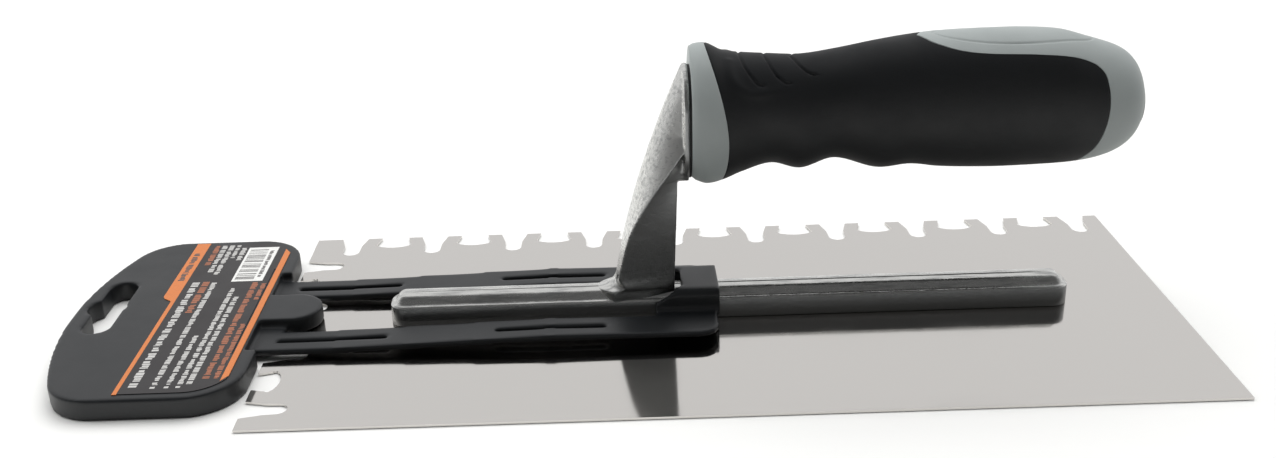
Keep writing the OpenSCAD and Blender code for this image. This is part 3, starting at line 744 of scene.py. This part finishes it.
# ---- Cast mounting ---------------------------------------------------------------------------
@dataclass
class Mounting:
    """Bar, leaning post and flange, cast in one; sizes in millimetres."""

    bar_left: float = -104.5
    bar_right: float = 108.0
    bar_half: float = 6.2
    bar_bottom: float = 0.7
    bar_top: float = 10.3
    corner_r: float = 4.8
    ledge_z: float = 7.0
    post_back: float = -14.3
    post_depth: float = 18.4
    post_draft: float = 1.0
    over_lean: float = 1.8
    nose_crown: float = 0.13
    crown: tuple[float, float] = (0.014, 0.065)
    crown_rise: float = 0.0016
    crown_from: float = 30.0
    post_root: float = 4.0
    web_gap: float = 3.0
    web_r: float = 5.4
    foot_rim: float = 0.8
    foot_top: float = 15.5
    foot_z: float = 18.0
    top_half: float = 12.7
    back_half: float = 3.6
    flange_x: float = -10.6
    flange_z: float = 63.6
    flange_half_h: float = 17.6
    rim_t: float = 1.8
    foot_half: float = 9.0
    boss_r: float = 7.0
    boss_len: float = 24.0
    axis_z: float = 66.0
    voxel: float = 0.32
    soft_rounds: int = 5

    def bar_loop(self, inset: float, z: float) -> np.ndarray:
        """Rounded rectangle round the bar.

        Args:
            inset: Distance in from the bar's outline.
            z: Height.

        Returns:
            Positions in millimetres.
        """
        r = max(self.corner_r - inset, 0.6)
        x0, x1 = self.bar_left + inset + r, self.bar_right - inset - r
        y = max(self.bar_half - inset - r, 0.01)
        corners = ((x1, y, 0), (x0, y, 90), (x0, -y, 180), (x1, -y, 270))
        loop: list[tuple[float, float, float]] = []
        for i, (cx, cy, turn) in enumerate(corners):
            arc = [math.radians(turn + 90 * k / 14) for k in range(15)]
            loop += [(cx + r * math.cos(t), cy + r * math.sin(t), z) for t in arc]
            nx, ny, _ = corners[(i + 1) % 4]
            end = loop[-1]
            towards = (nx + r * math.cos(arc[-1]), ny + r * math.sin(arc[-1]))
            steps = 60 if i in (0, 2) else 2
            loop += [
                (end[0] + (towards[0] - end[0]) * k / steps, end[1] + (towards[1] - end[1]) * k / steps, z)
                for k in range(1, steps)
            ]
        return np.array(loop)

    def bar(self) -> bpy.types.Object:
        """Builds the bar: drafted sides, a parting ledge, sloping shoulders and a crowned top.

        Returns:
            The new object.
        """
        # Each pair is the distance in from the bar's side, and the height
        sides = [(0.35, self.bar_bottom), (0.0, self.bar_bottom + 0.25), (0.0, 3.5),
                 (0.05, self.ledge_z - 0.15), (0.12, self.ledge_z), (0.36, self.ledge_z + 0.1),
                 (0.42, self.ledge_z + 0.25)]
        shoulder = [(0.95, 7.42), (1.15, 7.5), (1.6, 7.9), (2.3, 8.75), (2.9, 9.4), (3.3, 9.72), (3.7, 9.9)]
        crown = [(4.2, 10.03), (4.7, 10.14), (5.2, 10.22), (5.7, 10.28), (6.1, self.bar_top)]
        rings = np.array([self.bar_loop(w, z) for w, z in [*sides, *shoulder, *crown]])
        return skin("cast_bar", rings, Ends.CAPPED, CASTING)

    def post_rings(self) -> np.ndarray:
        """Rings of the post from inside the bar to the top of the flange.

        Returns:
            Positions in millimetres, with the shape (rings, points, 3).
        """
        bottom = self.flange_z - self.flange_half_h
        top = self.flange_z + self.flange_half_h
        lean_x, lean = self.post_back - self.post_depth, self.post_depth + self.over_lean
        spread = np.sin(np.radians(np.linspace(-90, 90, 45)))
        rings = []
        web_top = self.foot_z - self.web_gap
        buried = np.linspace(self.post_root, self.bar_top, 8)[:-1]
        for z in np.concatenate([buried, np.linspace(self.bar_top, top - 1.0, 150)]):
            high = max(z, self.bar_top)
            t = (high - self.foot_z) / (top - self.foot_z)
            front = lean_x + lean * t * (0.58 + 0.42 * t)
            d = min(max((web_top - high) / (web_top - self.bar_top), 0), 1)
            front -= self.web_r * (1 - math.sqrt(max(1 - d * d, 0)))
            flat, round_ = self.crown
            crown = min(max(flat + self.crown_rise * (z - self.crown_from), flat), round_)
            # The web at the foot narrows to a rounded nose that runs out on the bar
            crown += self.nose_crown * (1 - self.step((z - self.bar_top) / (web_top - self.bar_top)))
            near = self.bar_half - 0.1
            climb = (z - self.bar_top) / (self.axis_z - 6 - self.bar_top)
            half = near + (self.top_half - near) * self.step(climb)
            if z > bottom + 2:
                back = self.flange_x - self.rim_t + 0.2
            else:
                back = self.post_back - self.post_draft * min((bottom - z) / (bottom - self.bar_top), 1)
            reach = min(half, math.sqrt(max(back - 0.3 - front, 0.01) / crown))
            low = self.foot_half - self.foot_rim
            if z > bottom:
                tail = low + (self.top_half - low) * self.step((z - bottom - 12) / 5)
            else:
                tail_rise = self.step((z - self.bar_top) / (bottom - self.bar_top))
                tail = self.back_half + (low - self.back_half) * tail_rise
            tail = min(tail, reach)
            face = [(front + crown * (reach * k) ** 2, reach * k, z) for k in spread]
            rings.append([*face, (back, tail, z), (back, 0.0, z), (back, -tail, z)])
        return np.array(rings)

    @staticmethod
    def step(t: float) -> float:
        """Smooth step from 0 to 1."""
        u = min(max(t, 0.0), 1.0)
        return u * u * (3 - 2 * u)

    def stadium(self, x: float, half: float, straight: float, centre: float, count: int = 96) -> np.ndarray:
        """Upright stadium outline: two half circles joined by straight sides.

        Args:
            x: Position along the handle's axis.
            half: Radius of the half circles.
            straight: Distance of each half circle's middle from the centre.
            centre: Height of the centre.
            count: Number of points.

        Returns:
            Positions in millimetres.
        """
        turns = np.linspace(0, 2 * math.pi, count, endpoint=False)
        y, z = half * np.sin(turns), half * np.cos(turns)
        return np.stack([np.full(count, x), y, centre + z + np.sign(np.cos(turns)) * straight], -1)

    def flange(self) -> np.ndarray:
        """Rings of the flange with eased rims.

        Returns:
            Positions in millimetres, with the shape (rings, points, 3).
        """
        straight = self.flange_half_h - self.top_half
        start = self.flange_x - self.rim_t
        profile = [(start, 0.6), (start + 0.15, 0.25), (start + 0.5, 0.0), (self.flange_x - 0.4, 0.0),
                   (self.flange_x - 0.05, 0.2), (self.flange_x, 0.5)]
        return np.array([self.stadium(x, self.top_half - w, straight, self.flange_z) for x, w in profile])

    def foot_block(self) -> np.ndarray:
        """Rings of the thicker, as-cast foot at the bottom of the flange.

        Returns:
            Positions in millimetres, with the shape (rings, points, 3).
        """
        bottom = self.flange_z - self.flange_half_h
        # Each pair is a share of the half width, and the height above the flange's bottom
        outline = [(-0.86, 1.6), (-0.62, 0.5), (0.0, 0.0), (0.62, 0.5), (0.86, 1.6), (1.0, 4.2),
                   (1.0, self.foot_top), (-1.0, self.foot_top), (-1.0, 4.2)]
        slices = ((self.post_back - 0.4, 0.97), (self.post_back + 0.2, 1.0), (self.flange_x - 0.2, 1.0))
        return np.array([
            [(x, self.foot_half * u * scale, bottom + 0.1 + v) for u, v in outline]
            for x, scale in slices
        ])

    def post(self) -> bpy.types.Object:
        """Builds the post, flange and boss as one melted casting.

        Returns:
            The new object.
        """
        boss = np.array([
            self.stadium(x, self.boss_r - w, 0.0, self.axis_z, 64)
            for x, w in ((self.flange_x - 1, 0), (self.flange_x + self.boss_len - 0.5, 0),
                         (self.flange_x + self.boss_len, 0.5))
        ])
        made = bundle("cast_post", [self.post_rings(), self.flange(), self.foot_block(), boss], CASTING)
        melt(made, self.voxel, self.soft_rounds)
        return made

    def build(self) -> None:
        """Builds both pieces and puts them on the trowel."""
        for made in (self.bar(), self.post()):
            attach(made, TROWEL)
            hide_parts("shank_casting")
            LOG.info("%s: %d faces before modifiers", made.name, len(made.data.polygons))


# ---- Hanging card ----------------------------------------------------------------------------
@dataclass(frozen=True)
class Line:
    """One printed line or block on the film, in millimetres; words are split by gaps when greeked."""

    x0: float
    x1: float
    y0: float
    y1: float
    ink: PrintedInk
    greeked: bool = True


@dataclass
class HangingCard:
    """Black card with its printed film; sizes in millimetres."""

    film_top: float = 6.7
    ink_t: float = 0.02
    print_share: float = 0.8
    band_depth: float = 0.24
    voxel: float = 0.62
    soft_rounds: int = 3
    lines: tuple[Line, ...] = (
        Line(-172.4, -170.0, -49.8, 19.3, WHITE_INK),
        Line(-169.7, -167.9, 26.0, 49.0, WHITE_INK),
        Line(-167.2, -165.5, 25.0, 49.0, WHITE_INK),
        Line(-164.7, -163.3, 38.0, 49.0, WHITE_INK),
        Line(-162.4, -160.6, 36.4, 46.6, WHITE_INK),
        Line(-166.0, -164.3, -48.8, 18.8, WHITE_INK),
        Line(-162.0, -160.4, -48.8, -19.0, WHITE_INK),
        Line(-158.7, -157.1, -48.8, 14.0, WHITE_INK),
        Line(-156.2, -154.5, -48.8, 7.5, WHITE_INK),
        Line(-172.2, -170.3, 33.0, 49.0, DULL_ORANGE_INK),
        Line(-169.0, -166.8, -3.5, 19.6, DULL_ORANGE_INK),
        Line(-152.4, -150.4, -46.0, 18.0, DULL_ORANGE_INK),
        Line(-149.3, -147.7, 5.0, 17.0, DULL_ORANGE_INK),
        Line(-149.3, -147.7, -46.0, -12.0, DULL_ORANGE_INK),
        Line(-166.0, -164.6, -50.8, -49.8, WHITE_INK, False),
        Line(-162.0, -160.7, -50.8, -49.8, WHITE_INK, False),
        Line(-158.7, -157.4, -50.8, -49.8, WHITE_INK, False),
    )
    bands: tuple[tuple[tuple[float, float], ...], ...] = (
        ((-179.1, 51.4), (-179.1, 9.2), (-178.4, 7.8), (-176.0, 6.0), (-175.8, 5.0), (-175.8, -53.6),
         (-174.5, -53.6), (-174.5, 51.4)),
        ((-146.9, 44.6), (-146.9, -47.6), (-145.1, -44.6), (-144.9, 41.5)),
    )
    panel: tuple[float, float, float, float] = (-159.9, -149.6, 19.2, 46.6)

    def flat(
        self, name: str, outlines: list[tuple[tuple[float, float], ...]], ink: PrintedInk,
        up: float = 0.0, down: float = 0.005,
    ) -> None:
        """Prints outlines as thin solid ink.

        Args:
            name: Name of the piece.
            outlines: Closed outlines seen from above.
            ink: Ink to print with.
            up: Extra height, for ink printed over other ink.
            down: Depth that the print reaches below the film's face.
        """
        points: list[tuple[float, float, float]] = []
        faces: list[tuple[int, ...]] = []
        low, high = self.film_top - down, self.film_top + self.ink_t + up
        for outline in outlines:
            n, start = len(outline), len(points)
            points += [(x, y, low) for x, y in outline] + [(x, y, high) for x, y in outline]
            faces.append(tuple(start + n + j for j in range(n)))
            faces.append(tuple(start + j for j in reversed(range(n))))
            for j in range(n):
                k = (j + 1) % n
                faces.append((start + j, start + k, start + n + k, start + n + j))
        made = piece(name, np.array(points), faces, ink)
        made.data.polygons.foreach_set("use_smooth", [False] * len(made.data.polygons))
        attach(made, CARD)
        LOG.info("%s: %d marks", name, len(outlines))

    @staticmethod
    def box(x0: float, x1: float, y0: float, y1: float) -> tuple[tuple[float, float], ...]:
        """Outline of a rectangle, anticlockwise."""
        return (x0, y0), (x1, y0), (x1, y1), (x0, y1)

    def words(self, line: Line, random: np.random.Generator) -> list[tuple[tuple[float, float], ...]]:
        """Splits a line into blocks with small gaps, so that it reads as print but says nothing.

        Args:
            line: Line to split.
            random: Seeded generator.

        Returns:
            Outlines of the blocks.
        """
        tall = (line.x1 - line.x0) * self.print_share
        found = []
        y = line.y1
        while y > line.y0 + 0.4:
            word = float(random.uniform(1.3, 4.6)) * tall
            end = max(y - word, line.y0)
            while y > end + 0.25:
                block = float(random.uniform(0.4, 0.75)) * tall
                low = float(random.choice([0.0, 0.0, 0.22])) * tall
                high = float(random.choice([0.0, 0.0, 0.18])) * tall
                found.append(self.box(line.x0 + high, line.x1 - low, max(y - block, end), y))
                y -= block + 0.14 * tall
            y = end - 0.5 * tall
        return found

    def print_film(self) -> None:
        """Prints the bands, greeked lines and striped panel."""
        random = np.random.default_rng(SEED)
        marks: dict[str, tuple[PrintedInk, list[tuple[tuple[float, float], ...]]]] = {}
        for line in self.lines:
            shapes = [self.box(line.x0, line.x1, line.y0, line.y1)]
            if line.greeked:
                shapes = self.words(line, random)
            marks.setdefault(line.ink.name, (line.ink, []))[1].extend(shapes)
        for name, (ink, shapes) in marks.items():
            self.flat("print_" + name, shapes, ink)
        self.flat("print_bands", list(self.bands), ORANGE_INK, down=self.band_depth)
        x0, x1, y0, y1 = self.panel
        self.flat("print_panel", [self.box(x0, x1, y0, y1)], PANEL_INK)
        stripes, y = [], y0 + 1.4
        while y < y1 - 1.6:
            thick = float(random.choice([0.25, 0.25, 0.4, 0.6]))
            stripes.append(self.box(x0 + 0.8, x1 - 3.2, y, y + thick))
            y += thick + float(random.choice([0.3, 0.45, 0.8, 1.3]))
        under = Line(x1 - 2.4, x1 - 1.1, y0 + 3, y1 - 3, DARK_INK)
        stripes += self.words(under, random)
        stripes += self.words(Line(-177.9, -175.9, 20.6, 43.0, DARK_INK), random)
        self.flat("print_stripes", stripes, DARK_INK, 0.01)

    def build(self) -> None:
        """Gives the CAD card its moulded edges and finish, and prints its film."""
        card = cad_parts["hanger"]
        dress(card, CARD_PLASTIC)
        melt(card, self.voxel, self.soft_rounds)
        dress(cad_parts["hanger_label"], FILM)
        self.print_film()


# ---- Pieces shown as they are in the CAD frame -----------------------------------------------
def dress(node: bpy.types.Object, finish: Finish) -> None:
    """Puts a finish on a CAD node and leaves its shape alone.

    Args:
        node: Object of the CAD node.
        finish: Finish that it takes.
    """
    node.data.materials.clear()
    node.data.materials.append(finish.material())
    LOG.info("%s: %s", node.name, finish.name)


@dataclass
class PlainParts:
    """CAD nodes that need only a finish."""

    finishes: dict[str, Finish] = field(default_factory=lambda: {
        "blade": BLADE_STEEL,
        "blade_rivets": RIVET_STEEL,
        "collar_gasket": GASKET,
        "handle_bolt": BOLT_STEEL,
        "bolt_washer": BOLT_STEEL,
        "end_plug": PLUG,
    })

    def build(self) -> None:
        """Dresses each node."""
        for name, finish in self.finishes.items():
            dress(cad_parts[name], finish)


# ---- Studio ----------------------------------------------------------------------------------
@dataclass
class Studio:
    """Pale floor, soft lights, a soft room and the camera; sizes in metres."""

    floor_half: float = 4.0
    floor_lines: int = 9
    floor_gap: float = 0.0002
    room_bright: float = 0.9
    room_dark: float = 0.13
    eye: tuple[float, float, float] = (-0.03459, -0.38978, 0.19587)
    pitch: float = 23.14
    roll: float = 1.86
    lens: float = 38.694
    shift: float = 0.0212

    def floor(self) -> None:
        """Lays the paper sweep just under the object."""
        half, n = self.floor_half, self.floor_lines
        steps = np.linspace(-half, half, n) / MM
        grid = np.array([(x, y, 0.0) for y in steps for x in steps])
        cells = [j * n + i for j in range(n - 1) for i in range(n - 1)]
        faces = [(c, c + 1, c + n + 1, c + n) for c in cells]
        made = piece("paper_floor", grid, faces, SWEEP)
        made.location.z = -self.floor_gap

    def room(self) -> None:
        """Lights the room softly, bright behind the object and dim on the near side."""
        world = bpy.data.worlds.new("room")
        bpy.context.scene.world = world
        world.use_nodes = True
        tree = world.node_tree
        back = tree.nodes["Background"]
        place = add(tree, "ShaderNodeTexCoord").outputs["Generated"]
        split = add(tree, "ShaderNodeSeparateXYZ", None, {0: place})
        ends = {"From Min": -0.3, "From Max": 0.4, "To Min": self.room_dark, "To Max": self.room_bright,
                "interpolation_type": "SMOOTHSTEP"}
        fade = add(tree, "ShaderNodeMapRange", ends, {"Value": split.outputs["Y"]})
        tree.links.new(fade.outputs[0], back.inputs["Strength"])
        back.inputs["Color"].default_value = linear("#FBFBFC")

    def lamp(self, name: str, at: Vector, size: float, watts: float) -> None:
        """Hangs a square soft light that faces the object and isn't mirrored in it.

        Args:
            name: Name of the light.
            at: Position.
            size: Side of the square.
            watts: Power.
        """
        light = bpy.data.lights.new(name, "AREA")
        light.shape, light.size, light.energy = "SQUARE", size, watts
        made = bpy.data.objects.new(name, light)
        made.location = at
        made.rotation_euler = (Vector((0, 0, 0.03)) - at).to_track_quat("-Z", "Y").to_euler()
        made.visible_glossy = False
        bpy.context.scene.collection.objects.link(made)

    def camera(self) -> None:
        """Places the camera with its pitch and a slight roll."""
        p, r = math.radians(self.pitch), math.radians(self.roll)
        right, down = Vector((1, 0, 0)), Vector((0, -math.sin(p), -math.cos(p)))
        ahead = Vector((0, math.cos(p), -math.sin(p)))
        x_axis = math.cos(r) * right + math.sin(r) * down
        y_axis = -(-math.sin(r) * right + math.cos(r) * down)
        turn = Matrix((x_axis, y_axis, -ahead)).transposed().to_4x4()
        data = bpy.data.cameras.new("camera")
        data.lens, data.sensor_width, data.shift_x = self.lens, 36.0, self.shift
        data.clip_start = 0.01
        made = bpy.data.objects.new("camera", data)
        made.matrix_world = Matrix.Translation(self.eye) @ turn
        bpy.context.scene.collection.objects.link(made)
        bpy.context.scene.camera = made

    def build(self) -> None:
        """Sets up floor, room, lights and camera."""
        self.floor()
        self.room()
        self.lamp("overhead", Vector((0.1, 0.5, 1.8)), 2.4, 42.0)
        self.lamp("left_fill", Vector((-1.6, 0.1, 1.0)), 1.4, 9.0)
        self.camera()
        bpy.context.scene.view_settings.view_transform = "Standard"


def main() -> None:
    """Builds every sub-assembly in turn."""
    logging.basicConfig(level=logging.INFO, format="%(name)s: %(message)s")
    for part in (PlainParts(), Mounting(), Handle(), HangingCard(), Studio()):
        part.build()
        LOG.info("built %s", type(part).__name__)


if __name__ == "__main__":
    main()
